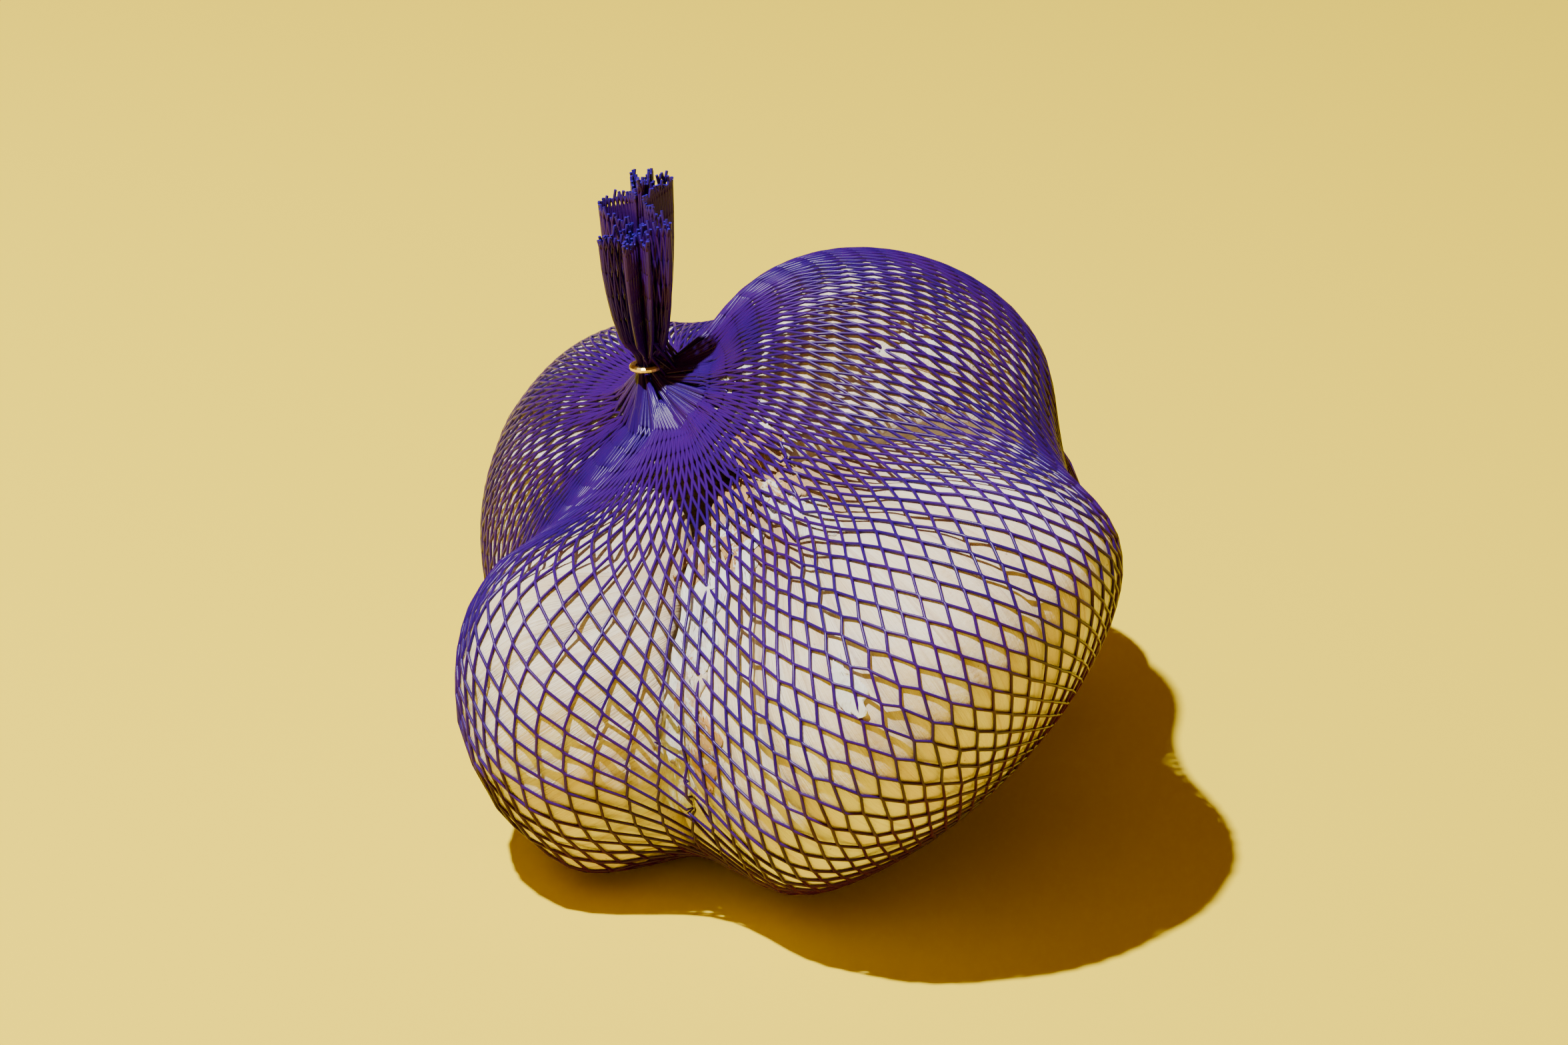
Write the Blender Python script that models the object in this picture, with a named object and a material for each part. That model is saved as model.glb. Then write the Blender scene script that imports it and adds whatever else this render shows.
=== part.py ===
"""Five garlic bulbs pulled tight in a tube of plastic net, closed by a wire clip at each end.

Millimetres are used for the sizes below and turned into metres when a mesh is made.
X is to the right, Y is away from the front, Z is up, and the pack rests on Z = 0.
"""

from math import cos, pi, radians, sin, tau

import bmesh
import bpy
import numpy as np
from mathutils import Matrix, Vector

MM = 0.001

# The bulbs: place of the middle (x, y) and how far it is lifted above where it would rest on the
# floor, direction of the neck, direction in which the bulb is thin, largest radius, half thickness
# along the thin direction and against it, number of cloves and how far the cut neck stands out.
BULBS = {
    "bulb_front_left": (
        (-32.2, -9.5, 0.0), (0.8, 0.0, 0.6), (0.9, -0.2, 0.4),
        26.2, 17.5, 19.0, 9, 4.0,
    ),
    "bulb_front_right": (
        (20.4, -20.6, 0.0), (-0.57, 0.33, 0.75), (-0.71, 0.31, 0.63),
        39.0, 30.0, 18.0, 11, 5.0,
    ),
    "bulb_back_left": (
        (-27.0, 49.5, 0.0), (0.6, -0.75, 0.25), (1.0, 0.1, -0.3),
        32.5, 25.0, 25.0, 10, 7.0,
    ),
    "bulb_back_right": (
        (31.0, 50.0, 0.0), (-0.6, -0.65, -0.4), (0.95, 0.1, -0.3),
        24.5, 18.2, 18.2, 8, 4.0,
    ),
    "bulb_top": (
        (14.6, 31.0, 43.7), (-0.75, -0.45, -0.5), (0.2, 0.0, 1.0),
        28.0, 19.6, 19.6, 9, 6.0,
    ),
}
BULB_GAP = 0.5  # least room between the bodies of two bulbs
REST_DEPTH = 1.2  # how far the pack's own weight flattens a bulb where it rests
CLOVE_GROOVE = 0.9  # depth of the valley between two cloves
NECK_FOOT = 7.0  # radius where the neck leaves the bulb
NECK_TIP = 3.2  # radius of the cut end of the neck
ROOT_RADIUS = 7.0  # radius of the root plate
ROOT_DEPTH = 2.0  # how far the root plate is sunk
BULB_SEGMENTS = 30
BULB_RINGS = 18

# The net: a tube of netting, wound tight over the bulbs and drawn together at both ends.
NET_THICKNESS = 0.7
NET_CLEARANCE = 0.6  # between the skin of a bulb and the inside of the net
NET_SLACK = 0.1  # what the middle of a mesh may lie closer than that
NET_SEGMENTS = 48
NET_RINGS = 28
PULLS = (0.95, 0.12)  # share of the pull that goes round the pack, where it bridges the upright
# valleys and where it bridges the level ones; the rest goes from clip to clip
CONTACT_GAP = 0.6  # between the flattened skin and the net under it
SETTLE = 0.6  # knots of the net less than this above the floor lie on it
NECK_RADIUS = 1.7  # outside of the gathered net inside a clip
NECK_BORE = 0.6
NECK_HALF = 1.8  # straight length of the gathered net above and below the middle of a clip
CONE_DROP = 4.0  # from there to where the net spreads out

FLOOR_OF_BULBS = NET_THICKNESS + CONTACT_GAP - REST_DEPTH  # lowest point of a bulb before it flattens

# The tuft above the upper clip, cut off at a slant.
CLIP_TOP_AT = (-23.5, 26.0, 68.4)
CLIP_ROOM = 6.5  # least distance from the foot of the upper neck to a bulb
TUFT_RADIUS = 6.9
TUFT_WALL = 1.5
TUFT_HEIGHT = 28.5
TUFT_SLANT = 4.2
TUFT_LEAN = (-0.05, 0.02)
TUFT_RINGS = 6

# The lower clip lies in the hollow between the four bulbs that touch the floor.
CLIP_BOTTOM_AT = (32.0, 19.0, 6.1)
STUB_RADIUS = 4.2
STUB_END = 0.9  # height of the cut ends of the lower tuft above the floor

# The clips: one turn and a bit of round wire.
WIRE = 1.1
CLIP_CLEARANCE = 0.3
CLIP_TURNS = 1.15
CLIP_PITCH = 1.35
CLIP_TAIL = 1.6


def unit(vector):
    vector = np.asarray(vector, float)
    return vector / np.linalg.norm(vector)


def frame_of(axis):
    """Two unit vectors square to the axis and to each other."""
    axis = unit(axis)
    side = unit(np.cross(axis, (0.0, 1.0, 0.0) if abs(axis[1]) < 0.9 else (1.0, 0.0, 0.0)))
    return side, np.cross(axis, side)


def new_object(name, points, faces, colour, roughness, metallic=0.0):
    mesh = bpy.data.meshes.new(name)
    mesh.from_pydata([Vector(p) * MM for p in points], [], faces)
    mesh.validate()
    obj = bpy.data.objects.new(name, mesh)
    return finish_object(obj, colour, roughness, metallic)


def finish_object(obj, colour, roughness, metallic):
    bpy.context.scene.collection.objects.link(obj)
    material = bpy.data.materials.new(obj.name + "_material")
    material.use_nodes = True
    shader = material.node_tree.nodes["Principled BSDF"]
    shader.inputs["Base Color"].default_value = (*colour, 1.0)
    shader.inputs["Roughness"].default_value = roughness
    shader.inputs["Metallic"].default_value = metallic
    obj.data.materials.append(material)
    if obj.type == "MESH":
        obj.data.shade_smooth()
    return obj


# ---------------------------------------------------------------- bulbs


def half_width(direction, thin, radius, half, back):
    """How far a flattened ball stands out from its middle, measured along a direction."""
    along = direction @ unit(thin)
    half = np.where(along > 0.0, half, back)
    return np.sqrt((1.0 - along * along) * radius**2 + along * along * half**2)


def fan_of_directions(count=900):
    """Evenly spread unit vectors."""
    order = np.arange(count) + 0.5
    height = 1.0 - 2.0 * order / count
    turn = order * tau / ((1.0 + 5.0**0.5) / 2.0)
    flat = np.sqrt(1.0 - height**2)
    return np.column_stack([flat * np.cos(turn), flat * np.sin(turn), height])


def settled_middles():
    """Middles of the bulbs, on the floor or stacked, moved apart until no two bodies touch."""
    fan = fan_of_directions()
    down = np.array((0.0, 0.0, -1.0))
    middles = {}
    for name, (place, _neck, *body, _cloves, _length) in BULBS.items():
        middles[name] = np.array(place) + (0.0, 0.0, half_width(down, *body) + FLOOR_OF_BULBS)
    heights = {name: middles[name][2] for name in BULBS if BULBS[name][0][2] == 0.0}
    names = list(BULBS)
    pairs = [(one, two) for place, one in enumerate(names) for two in names[place + 1:]]
    for _ in range(80):
        for one, two in pairs:
            room = fan @ (middles[two] - middles[one])
            room -= half_width(fan, *BULBS[one][2:6]) + half_width(-fan, *BULBS[two][2:6])
            push = max(BULB_GAP - room.max(), 0.0) / 2.0 * fan[room.argmax()]
            middles[one] -= push
            middles[two] += push
        for name, height in heights.items():
            middles[name][2] = height
    return middles


def body_reach(direction, thin, radius, half, back):
    """Distance from the middle of a flattened ball to its skin."""
    along = direction @ thin
    half = np.where(along > 0.0, half, back)
    return 1.0 / np.sqrt((1.0 - along * along) / radius**2 + along * along / half**2)


def clove_shape(turn, cloves, start):
    """0 in the valley between two cloves and 1 on their backs, which are not all equally wide."""
    wobble = 0.25 * np.sin(2.0 * turn + start) + 0.15 * np.sin(3.0 * turn + 2.0 * start)
    return np.sqrt(np.abs(np.sin(0.5 * cloves * turn + wobble)))


def make_bulb(name, middle, _place, neck, thin, radius, half, back, cloves, neck_length):
    """A ball whose points are moved out to the skin, with a cut neck and a sunk root plate."""
    neck = unit(neck)
    thin = unit(thin)
    side, other = frame_of(neck)
    start = 0.1 * middle[0]
    ball = bmesh.new()
    bmesh.ops.create_uvsphere(ball, u_segments=BULB_SEGMENTS, v_segments=BULB_RINGS, radius=1.0)
    for vertex in ball.verts:
        tilt = np.arccos(np.clip(vertex.co.z, -1.0, 1.0))
        turn = np.arctan2(vertex.co.y, vertex.co.x)
        direction = cos(tilt) * neck + sin(tilt) * (cos(turn) * side + sin(turn) * other)
        reach = body_reach(direction, thin, radius, half, back)
        flank = sin(tilt) ** 1.5
        reach -= CLOVE_GROOVE * flank * (1.0 - clove_shape(turn, cloves, start))
        away = reach * sin(tilt)
        height = reach * cos(tilt)
        if cos(tilt) > 0.0 and away < NECK_FOOT:
            rise = 1.0 - away / NECK_FOOT
            height += neck_length * (1.0 - (1.0 - rise) ** 3)
            away = max(away, NECK_TIP * min(1.0, away / 2.0))
        if cos(tilt) < 0.0 and away < ROOT_RADIUS:
            height += ROOT_DEPTH * (1.0 - (away / ROOT_RADIUS) ** 2)
        point = middle + height * neck + away * (cos(turn) * side + sin(turn) * other)
        point[2] = max(point[2], NET_THICKNESS + CONTACT_GAP)
        vertex.co = Vector(point) * MM
    mesh = bpy.data.meshes.new(name)
    ball.to_mesh(mesh)
    ball.free()
    return finish_object(bpy.data.objects.new(name, mesh), (0.83, 0.76, 0.60), 0.55, 0.0)


# ---------------------------------------------------------------- net


def gap_to_bulb(points, middle, _place, neck, thin, radius, half, back, _cloves, neck_length):
    """Distance from points to a bulb and its neck, true at the skin."""
    offset = points - middle
    along = offset @ unit(thin)
    across = np.maximum((offset**2).sum(-1) - along**2, 0.0)
    deep = np.where(along > 0.0, half, back)
    first = np.sqrt(across / radius**2 + along**2 / deep**2)
    second = np.sqrt(across / radius**4 + along**2 / deep**4)
    body = first * (first - 1.0) / np.maximum(second, 1e-9)
    body = np.maximum(body, NET_THICKNESS + CONTACT_GAP - points[..., 2])
    neck = unit(neck)
    tip = body_reach(neck, unit(thin), radius, half, back) + neck_length
    height = np.clip(offset @ neck, 0.0, tip)
    stalk = np.linalg.norm(offset - height[..., None] * neck, axis=-1) - NECK_TIP
    return np.minimum(body, stalk)


def gap_to_bulbs(points, middles):
    """Distance from points to the nearest bulb."""
    return np.min([gap_to_bulb(points, middles[name], *sizes) for name, sizes in BULBS.items()], axis=0)


def skin_reach(centre, directions, middles):
    """How far out the bulbs reach along each direction, with room for the net, or 0 beside them."""
    steps = np.linspace(150.0, 0.5, 600)
    points = centre + directions[..., None, :] * steps[:, None]
    inside = gap_to_bulbs(points, middles) < NET_CLEARANCE
    return np.where(inside.any(-1), steps[inside.argmax(-1)], 0.0)


def raised_clip(middles):
    """Middle of the upper clip: high enough for the net to spread out over the bulbs below it."""
    place = np.array(CLIP_TOP_AT)
    rise = np.array((0.0, 0.0, NECK_HALF + CONE_DROP))
    foot = place - rise
    while min(gap_to_bulbs(foot, middles), gap_to_bulbs(foot + rise, middles)) < CLIP_ROOM:
        foot[2] += 0.1
        place[2] += 0.1
    return place


def drawn(start, step, spread, end, pull, times, limit=None):
    """One over the net's reach: each knot moves to the straight line between its neighbours."""
    limit = start if limit is None else limit
    inverse = start
    for _ in range(times):
        above = np.vstack([np.full((1, NET_SEGMENTS), end), inverse[:-1]])
        below = np.vstack([inverse[1:], np.full((1, NET_SEGMENTS), end)])
        straight = (above + below) / (2.0 * cos(step))
        round_pull = (np.roll(inverse, 1, 1) + np.roll(inverse, -1, 1)) / 2.0 / spread
        inverse = np.minimum(limit, (1.0 - pull) * straight + pull * round_pull)
    return inverse


def taut_net(centre, axis, middles):
    """The inside of the net: a skin drawn from clip to clip that never cuts into a bulb."""
    side, other = frame_of(axis)
    tilts = np.linspace(radians(5.0), radians(175.0), NET_RINGS)
    turns = np.arange(NET_SEGMENTS) * tau / NET_SEGMENTS
    around = np.cos(turns)[:, None] * side + np.sin(turns)[:, None] * other
    directions = np.cos(tilts)[:, None, None] * unit(axis) + np.sin(tilts)[:, None, None] * around
    nearest = 1.0 / np.maximum(skin_reach(centre, directions, middles), 1.0)
    step = tilts[1] - tilts[0]
    end = 1.0 / (np.linalg.norm(axis) / 2.0 - NECK_HALF - CONE_DROP)
    spread = np.cos(np.sin(tilts) * tau / NET_SEGMENTS)[:, None]
    solved = [drawn(nearest, step, spread, end, pull, 1500) for pull in PULLS]
    inverse = drawn(np.min(solved, axis=0), step, spread, end, 0.5, 12, nearest)
    return lifted_clear(centre + directions / inverse[..., None], middles)


# Shares of a mesh's four corners, in quarters, at which its gap to the bulbs is held.
MESH_SPOTS = ((1, 1, 1, 1), (2, 0, 2, 0), (0, 2, 0, 2), (2, 2, 0, 0), (2, 0, 0, 2),
              (2, 1, 0, 1), (1, 2, 1, 0), (0, 1, 2, 1), (1, 0, 1, 2))


def lifted_clear(rings, middles):
    """Moves the net out until the middles of its meshes clear the bulbs as well as its knots do."""
    for _ in range(60):
        lack = np.zeros(rings.shape[:2])
        beside = np.roll(rings, -1, 1)
        corners = np.stack([rings[:-1], rings[1:], beside[1:], beside[:-1]])
        for weights in MESH_SPOTS:
            middle = np.tensordot(np.array(weights) / 4.0, corners, 1)
            short = np.maximum(NET_CLEARANCE - NET_SLACK - gap_to_bulbs(middle, middles), 0.0)
            for rows in (slice(None, -1), slice(1, None)):
                lack[rows] = np.maximum(lack[rows], np.maximum(short, np.roll(short, 1, 1)))
        rings = rings + 0.6 * lack[..., None] * outward(rings)
        rings[..., 2] = np.maximum(rings[..., 2], NET_THICKNESS)
    return rings


def outward(rings):
    """Unit normals of a grid of rings that runs from the top down."""
    down = np.gradient(rings, axis=0)
    along = np.roll(rings, -1, 1) - np.roll(rings, 1, 1)
    normal = np.cross(down, along)
    return normal / np.linalg.norm(normal, axis=-1, keepdims=True)


def ring(middle, radius, tops, turns_of):
    """A level ring of points round a middle, in the order of the net's columns."""
    flat = turns_of * radius
    return np.column_stack([middle[0] + flat[:, 0], middle[1] + flat[:, 1], tops])


def make_net(top, middles):
    bottom = np.array(CLIP_BOTTOM_AT)
    centre = (top + bottom) / 2.0
    axis = top - bottom
    inner = taut_net(centre, axis, middles)
    outer = inner + NET_THICKNESS * outward(inner)
    outer[..., 2] = np.where(outer[..., 2] < SETTLE, 0.0, outer[..., 2])
    side, other = frame_of(axis)
    turns = np.arange(NET_SEGMENTS) * tau / NET_SEGMENTS
    heading = (np.cos(turns)[:, None] * side + np.sin(turns)[:, None] * other)[:, :2]
    heading /= np.linalg.norm(heading, axis=1, keepdims=True)

    # The tuft, from its cut ends down to the clip.
    tuft_out = []
    tuft_in = []
    for share in np.linspace(1.0, 0.0, TUFT_RINGS):
        grown = sin(share * pi / 2.0) ** 0.8 if share else 0.0
        radius = NECK_RADIUS + (TUFT_RADIUS - NECK_RADIUS) * grown
        bore = NECK_BORE + (TUFT_RADIUS - TUFT_WALL - NECK_BORE) * grown
        slant = TUFT_SLANT * share * (heading @ unit((0.5, 0.85)))
        tops = top[2] + NECK_HALF + (TUFT_HEIGHT - NECK_HALF) * share + slant
        middle = top[:2] + np.array(TUFT_LEAN) * TUFT_HEIGHT * share
        tuft_out.append(ring(middle, radius, tops, heading))
        tuft_in.append(ring(middle, bore, tops, heading))
    level = np.full(NET_SEGMENTS, top[2] - NECK_HALF)
    tuft_out.append(ring(top, NECK_RADIUS, level, heading))
    tuft_in.append(ring(top, NECK_BORE, level, heading))

    # The lower end: a neck through the second clip and its short tuft, closed at the floor.
    stub = []
    for height, radius in ((bottom[2] + NECK_HALF, NECK_RADIUS), (bottom[2] - NECK_HALF, NECK_RADIUS),
                           (STUB_END + 1.8, 0.7 * STUB_RADIUS), (STUB_END, STUB_RADIUS)):
        stub.append(ring(bottom, radius, np.full(NET_SEGMENTS, height), heading))

    # One closed sheet: out and down the outside, then up the inside and out at the tuft.
    outside = np.concatenate([np.array(tuft_out), outer, np.array(stub)])
    inside = np.concatenate([np.array(tuft_in), inner])[::-1]
    points = list(outside.reshape(-1, 3))
    faces = []
    rows = len(outside)

    def quad(upper, lower, column, base):
        follow = (column + 1) % NET_SEGMENTS
        return (base + upper * NET_SEGMENTS + column, base + lower * NET_SEGMENTS + column,
                base + lower * NET_SEGMENTS + follow, base + upper * NET_SEGMENTS + follow)

    for row in range(rows - 1):
        faces += [quad(row, row + 1, column, 0) for column in range(NET_SEGMENTS)]
    cap = len(points)
    points.append(outside[-1].mean(0))
    last = (rows - 1) * NET_SEGMENTS
    for column in range(NET_SEGMENTS):
        faces.append((last + column, cap, last + (column + 1) % NET_SEGMENTS))
    pole = len(points)
    points.append(inside[0].mean(0))
    base = len(points)
    points += list(inside.reshape(-1, 3))
    for column in range(NET_SEGMENTS):
        faces.append((pole, base + column, base + (column + 1) % NET_SEGMENTS))
    for row in range(len(inside) - 1):
        faces += [quad(row, row + 1, column, base) for column in range(NET_SEGMENTS)]
    rim = base + (len(inside) - 1) * NET_SEGMENTS
    for column in range(NET_SEGMENTS):
        follow = (column + 1) % NET_SEGMENTS
        faces.append((rim + column, column, follow, rim + follow))
    return new_object("net", points, faces, (0.10, 0.03, 0.45), 0.35)


# ---------------------------------------------------------------- clips


def make_clip(name, middle, start, lift):
    """A turn and a bit of wire as a round curve, its last end bent up."""
    reach = NECK_RADIUS + CLIP_CLEARANCE + WIRE / 2.0
    steps = 26
    points = []
    for count in range(steps + 1):
        share = count / steps
        turn = start + share * CLIP_TURNS * tau
        height = (share - 0.5) * CLIP_PITCH * CLIP_TURNS
        points.append((middle[0] + reach * cos(turn), middle[1] + reach * sin(turn), middle[2] + height))
    last = start + CLIP_TURNS * tau
    end = np.array(points[-1])
    heading = np.array((-sin(last), cos(last), 0.0))
    for count in (1, 2):
        points.append(end + CLIP_TAIL * count / 2.0 * heading + (0.0, 0.0, lift * (count / 2.0) ** 2))
    curve = bpy.data.curves.new(name, "CURVE")
    curve.dimensions = "3D"
    curve.bevel_depth = WIRE / 2.0 * MM
    curve.bevel_resolution = 2
    curve.use_fill_caps = True
    spline = curve.splines.new("POLY")
    spline.points.add(len(points) - 1)
    for place, point in zip(spline.points, points):
        place.co = (*(Vector(point) * MM), 1.0)
    return finish_object(bpy.data.objects.new(name, curve), (0.80, 0.60, 0.22), 0.3, 1.0)


def centre_on_origin():
    """Shifts every mesh and curve so that the middle of the pack's box is over the origin."""
    corners = np.array([corner for obj in bpy.data.objects for corner in obj.bound_box])
    middle = (corners.min(0) + corners.max(0)) / 2.0
    for obj in bpy.data.objects:
        obj.data.transform(Matrix.Translation((-middle[0], -middle[1], 0.0)))


for old in list(bpy.data.objects):
    bpy.data.objects.remove(old)
bulb_middles = settled_middles()
upper_clip = raised_clip(bulb_middles)
for bulb_name, bulb_sizes in BULBS.items():
    make_bulb(bulb_name, bulb_middles[bulb_name], *bulb_sizes)
make_net(upper_clip, bulb_middles)
make_clip("clip_top", upper_clip, radians(-20.0), 0.9)
make_clip("clip_bottom", CLIP_BOTTOM_AT, radians(160.0), 0.0)
bpy.context.view_layer.update()
centre_on_origin()
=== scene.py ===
"""Five garlic bulbs in a violet net, closed by a wire clip at each end.

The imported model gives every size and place. Lengths below are in metres unless a comment says otherwise.
"""

from math import cos, pi, radians, sin, tau

import bpy
import numpy as np
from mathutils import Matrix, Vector, noise
from mathutils.bvhtree import BVHTree


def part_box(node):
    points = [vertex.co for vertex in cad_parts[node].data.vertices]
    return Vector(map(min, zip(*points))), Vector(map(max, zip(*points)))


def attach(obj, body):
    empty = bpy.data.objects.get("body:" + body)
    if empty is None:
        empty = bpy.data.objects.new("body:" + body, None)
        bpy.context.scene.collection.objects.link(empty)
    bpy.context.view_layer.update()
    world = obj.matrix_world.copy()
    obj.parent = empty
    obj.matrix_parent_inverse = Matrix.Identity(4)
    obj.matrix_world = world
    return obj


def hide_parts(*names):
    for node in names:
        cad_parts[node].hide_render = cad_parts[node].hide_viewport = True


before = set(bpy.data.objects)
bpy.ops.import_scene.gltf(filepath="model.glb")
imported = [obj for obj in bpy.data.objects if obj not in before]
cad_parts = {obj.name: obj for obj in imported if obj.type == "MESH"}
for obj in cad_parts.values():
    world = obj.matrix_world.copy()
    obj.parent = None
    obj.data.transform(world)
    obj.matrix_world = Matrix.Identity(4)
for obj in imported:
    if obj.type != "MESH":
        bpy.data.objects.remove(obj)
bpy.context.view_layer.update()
MM = 0.001

# ---------------------------------------------------------------- camera
# A long lens in front of the pack, looking down at it, so that the near and the far bulbs keep
# almost the same scale.

CAMERA_TURN_UP = radians(24.0)
CAMERA_DISTANCE = 0.7056
LENS = 100.0  # millimetres, as the sensor's width
SENSOR = 36.0
AIM = Vector((-0.67, 0.24, 46.8)) * MM

camera = bpy.data.objects.new("camera", bpy.data.cameras.new("camera"))
camera.data.lens = LENS
camera.data.sensor_width = SENSOR
camera.data.clip_start = 0.01
camera.location = AIM + CAMERA_DISTANCE * Vector((0.0, -cos(CAMERA_TURN_UP), sin(CAMERA_TURN_UP)))
camera.rotation_euler = (pi / 2.0 - CAMERA_TURN_UP, 0.0, 0.0)
bpy.context.scene.collection.objects.link(camera)
bpy.context.scene.camera = camera


# ---------------------------------------------------------------- floor and light
# A plain yellow sheet. One small hard key light stands high on the left and a little in front, and a
# broad golden one low at the front right adds to the sheet's own glow. The room is dim and warm.

FLOOR_HALF = 3.0
FLOOR_COLOUR = (1.0, 0.77, 0.006, 1.0)
KEY_TURN = (-0.33, -0.13, 1.0)  # direction towards the key light
KEY_DISTANCE = 1.6
KEY_SIZE = 0.05
KEY_POWER = 54.0
KEY_COLOUR = (1.0, 0.98, 0.95)
GLOW_TURN = (0.7, -1.0, 0.14)
GLOW_DISTANCE = 1.5
GLOW_SIZE = 0.8
GLOW_POWER = 4.0
GLOW_COLOUR = (1.0, 0.66, 0.06)
ROOM_COLOUR = (1.0, 0.42, 0.12, 1.0)
ROOM_STRENGTH = 0.16


class Socket:
    """One output of a node. Sums on it add the Math nodes."""

    def __init__(self, sheet, socket):
        self.sheet = sheet
        self.socket = socket

    def __add__(self, other):
        return self.sheet.maths("ADD", self, other)

    def __sub__(self, other):
        return self.sheet.maths("SUBTRACT", self, other)

    def __rsub__(self, other):
        return self.sheet.maths("SUBTRACT", other, self)

    def __mul__(self, other):
        return self.sheet.maths("MULTIPLY", self, other)

    __radd__ = __add__
    __rmul__ = __mul__


class NodeSheet:
    """The nodes of one material or of one Geometry Nodes tree."""

    def __init__(self, tree):
        self.tree = tree

    def add(self, kind, settings, values, output=0):
        """A node of this type, with its settings made first and then its sockets set or linked."""
        node = self.tree.nodes.new(kind)
        for name, value in settings.items():
            setattr(node, name, value)
        for name, value in values.items():
            if isinstance(value, Socket):
                self.tree.links.new(value.socket, node.inputs[name])
            else:
                node.inputs[name].default_value = value
        return Socket(self, node.outputs[output]) if node.outputs else node

    def maths(self, operation, *values):
        return self.add("ShaderNodeMath", {"operation": operation}, dict(enumerate(values)))

    def clamped(self, value, low, high):
        """0 below low, 1 above high, smooth between."""
        return self.add("ShaderNodeMapRange", {"interpolation_type": "SMOOTHSTEP"},
                        {"Value": value, "From Min": low, "From Max": high})

    def mixed(self, share, first, second):
        """Colour between two colours."""
        return self.add("ShaderNodeMix", {"data_type": "RGBA"}, {0: share, 6: first, 7: second}, 2)

    def noise_at(self, place, scale, detail=4.0, roughness=0.55):
        """Fine to coarse blotches between 0 and 1."""
        return self.add("ShaderNodeTexNoise", {}, {"Vector": place, "Scale": scale, "Detail": detail,
                                                   "Roughness": roughness}, "Fac")


def new_material(name, **sockets):
    """An empty Principled material, its uniform values set on the shader's own sockets."""
    material = bpy.data.materials.new(name)
    material.use_nodes = True
    shader = material.node_tree.nodes["Principled BSDF"]
    for socket, value in sockets.items():
        shader.inputs[socket.replace("_", " ")].default_value = value
    return material, shader, NodeSheet(material.node_tree)


floor_corners = [(x * FLOOR_HALF, y * FLOOR_HALF, 0.0) for x, y in ((-1, -1), (1, -1), (1, 1), (-1, 1))]
floor_mesh = bpy.data.meshes.new("floor")
floor_mesh.from_pydata(floor_corners, [], [(0, 1, 2, 3)])
floor = bpy.data.objects.new("floor", floor_mesh)
bpy.context.scene.collection.objects.link(floor)
floor_mesh.materials.append(new_material("floor_sheet", Base_Color=FLOOR_COLOUR, Roughness=0.9)[0])


def add_area_light(name, towards, distance, size, power, colour):
    """A round light that faces the pack from this direction."""
    light = bpy.data.lights.new(name, "AREA")
    light.shape = "DISK"
    light.size = size
    light.energy = power
    light.color = colour
    holder = bpy.data.objects.new(name, light)
    direction = Vector(towards).normalized()
    holder.location = direction * distance
    holder.rotation_euler = direction.to_track_quat("Z", "Y").to_euler()
    bpy.context.scene.collection.objects.link(holder)


add_area_light("key", KEY_TURN, KEY_DISTANCE, KEY_SIZE, KEY_POWER, KEY_COLOUR)
add_area_light("golden_fill", GLOW_TURN, GLOW_DISTANCE, GLOW_SIZE, GLOW_POWER, GLOW_COLOUR)
world = bpy.data.worlds.new("studio")
world.use_nodes = True
world.node_tree.nodes["Background"].inputs["Color"].default_value = ROOM_COLOUR
world.node_tree.nodes["Background"].inputs["Strength"].default_value = ROOM_STRENGTH
bpy.context.scene.world = world


# ---------------------------------------------------------------- bulbs
# Whole heads of garlic: cloves packed round a stalk and wrapped in dry papery skins that run from
# the root plate to the cut neck. Each is one body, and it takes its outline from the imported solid.

BULB_NECKS = {  # the direction in which each cut neck points
    "bulb_front_left": (0.8, 0.0, 0.6),
    "bulb_front_right": (-0.57, 0.33, 0.75),
    "bulb_back_left": (0.6, -0.75, 0.25),
    "bulb_back_right": (-0.6, -0.65, -0.4),
    "bulb_top": (-0.75, -0.45, -0.5),
}
CLOVES = {"bulb_front_left": 9, "bulb_front_right": 11, "bulb_back_left": 10,
          "bulb_back_right": 8, "bulb_top": 9}
AROUND = 240
DOWN = 130
TOP_TILT = 0.006 * pi  # the first and last rows of the skin, measured from the neck
END_TILT = 0.994 * pi
CLOVE_VALLEY = 1.5 * MM
VALLEY_SHIFT = 0.22  # of a clove, by which a valley may be off its even place
VALLEY_LEAST = 0.25  # share of the full depth that the shallowest valley has
CLOVE_ROUND = 0.55  # the smaller, the broader the cloves and the narrower the valleys
CLOVE_TAPER = 1.3  # how soon the valleys fade towards the neck and the root
SKIN_SWELL = 0.25 * MM  # the solid's shallow grooves are smoothed away, which takes this much off
UNEVEN = 0.35 * MM
LUMPS = 3.1  # how close together the uneven places are
WRINKLE = 1.1 * MM  # height of the folds of skin drawn together at the neck
WRINKLES_AROUND = 4.5
WRINKLES_ALONG = 1.2
NECK_WRINKLES = 0.9  # angle from the neck over which they fade, in radians
PATTERN_SHIFT = 90.0  # so that no two bulbs have the same pattern
COARSE_AROUND = 80
COARSE_DOWN = 44
FILL_ROOM = 0.8 * MM  # between the net and a clove that fills a valley under it
FILL_DEPTH = 14.0 * MM  # valleys up to this deep are filled, and those twice as deep aren't
FILL_LEAST = 0.1 * MM
FILL_STEPS = 12
ROOT_PLATE = 6.5 * MM  # radius, inside which the sunk plate stays as deep as it is
ROOT_RIM = 2.0 * MM
PRESSED_GAP = 0.3 * MM  # between two bulbs that press on each other


def unit(vector):
    vector = np.asarray(vector, float)
    return vector / np.linalg.norm(vector, axis=-1, keepdims=True)


def frame_of(axis):
    """Two unit vectors square to the axis and to each other."""
    axis = unit(axis)
    side = unit(np.cross(axis, (0.0, 1.0, 0.0) if abs(axis[1]) < 0.9 else (1.0, 0.0, 0.0)))
    return side, np.cross(axis, side)


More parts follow.
